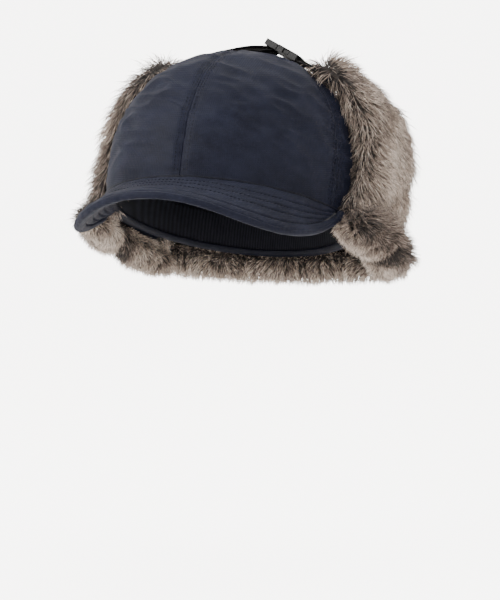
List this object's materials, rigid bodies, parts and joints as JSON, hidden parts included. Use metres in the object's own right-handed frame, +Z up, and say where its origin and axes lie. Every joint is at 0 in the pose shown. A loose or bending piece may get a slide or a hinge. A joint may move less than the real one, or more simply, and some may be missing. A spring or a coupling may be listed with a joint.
{
  "type": "trapper hat",
  "caption": "Padded trapper hat with a short curved brim, fur-faced ear and neck flaps turned up and buckled over the crown.",
  "frame": {"origin": "centre of the head opening", "axes": "+X to the wearer's left, -Y to the front, +Z up, with the hat tipped back 17.5 degrees as worn"},
  "size_m": [0.2218, 0.2906, 0.1717],
  "materials": {
    "navy_nylon": "matt woven nylon",
    "faux_fur": "long-pile faux fur, pale tips and dark roots",
    "wadding": "polyester wadding",
    "lining": "quilted lining",
    "sweatband": "grosgrain",
    "brim_board": "moulded sheet",
    "webbing": "ribbed webbing",
    "buckle": "fine satin moulding"
  },
  "bodies": {
    "crown": {"front_panel_left": "navy_nylon", "front_panel_right": "navy_nylon", "side_panel_left": "navy_nylon", "side_panel_right": "navy_nylon", "back_panel_left": "navy_nylon", "back_panel_right": "navy_nylon", "crown_padding": "wadding", "crown_lining": "lining", "sweatband": "sweatband", "brim_top_cover": "navy_nylon", "brim_board": "brim_board", "brim_under_cover": "navy_nylon"},
    "ear_flap_left": {"ear_shell_left": "navy_nylon", "ear_padding_left": "wadding", "ear_fur_left": "faux_fur", "ear_fold_left": "faux_fur"},
    "ear_flap_right": {"ear_shell_right": "navy_nylon", "ear_padding_right": "wadding", "ear_fur_right": "faux_fur", "ear_fold_right": "faux_fur"},
    "neck_flap": {"neck_shell": "navy_nylon", "neck_padding": "wadding", "neck_fur": "faux_fur", "neck_fold": "faux_fur"},
    "strap_left": {"webbing_left": "webbing", "buckle_socket": "buckle"},
    "strap_right": {"webbing_right": "webbing"},
    "plug": {"buckle_plug": "buckle", "buckle_guide": "buckle"},
    "arm_front": {"buckle_arm_front": "buckle"},
    "arm_back": {"buckle_arm_back": "buckle"}
  },
  "joints": [
    {"name": "ear_fold_left", "type": "hinge", "parent": "crown", "child": "ear_flap_left", "pos_m": [0.093, -0.0009, -0.00286], "axis": [-0.0349, 0.9531, -0.3005], "range_deg": [0, 175], "deforming": ["ear_fold_left"]},
    {"name": "ear_fold_right", "type": "hinge", "parent": "crown", "child": "ear_flap_right", "pos_m": [-0.093, -0.0009, -0.00286], "axis": [-0.0349, -0.9531, 0.3005], "range_deg": [0, 175], "deforming": ["ear_fold_right"]},
    {"name": "neck_fold", "type": "hinge", "parent": "crown", "child": "neck_flap", "pos_m": [0, 0.09979, -0.02937], "axis": [-1, 0, 0], "range_deg": [0, 165], "deforming": ["neck_fold"]},
    {"name": "strap_swing_left", "type": "hinge", "parent": "ear_flap_left", "child": "strap_left", "pos_m": [0.0545, 0.02043, 0.1047], "axis": [0, 0.9537, -0.3007], "range_deg": [0, 60], "deforming": ["webbing_left"]},
    {"name": "strap_swing_right", "type": "hinge", "parent": "ear_flap_right", "child": "strap_right", "pos_m": [-0.0545, 0.01893, 0.09993], "axis": [0, -0.9537, 0.3007], "range_deg": [0, 60], "deforming": ["webbing_right"]},
    {"name": "plug_release", "type": "slide", "parent": "strap_right", "child": "plug", "axis": [-0.8829, 0.1412, 0.4477], "range_m": [0, 0.02], "deforming": ["buckle_guide"]},
    {"name": "squeeze_front", "type": "hinge", "parent": "plug", "child": "arm_front", "pos_m": [0.028, 0.02048, 0.12115], "axis": [0.4695, 0.2655, 0.8421], "range_deg": [0, 13], "stiffness_Nm_per_rad": 0.02, "deforming": ["buckle_arm_front"]},
    {"name": "squeeze_back", "type": "hinge", "parent": "plug", "child": "arm_back", "pos_m": [0.028, 0.02982, 0.1182], "axis": [-0.4695, -0.2655, -0.8421], "range_deg": [0, 13], "stiffness_Nm_per_rad": 0.02, "deforming": ["buckle_arm_back"]}
  ],
  "couplings": [
    {"joint": "strap_swing_left", "follows": "ear_fold_left", "ratio": 0.3},
    {"joint": "strap_swing_right", "follows": "ear_fold_right", "ratio": 0.3}
  ]
}
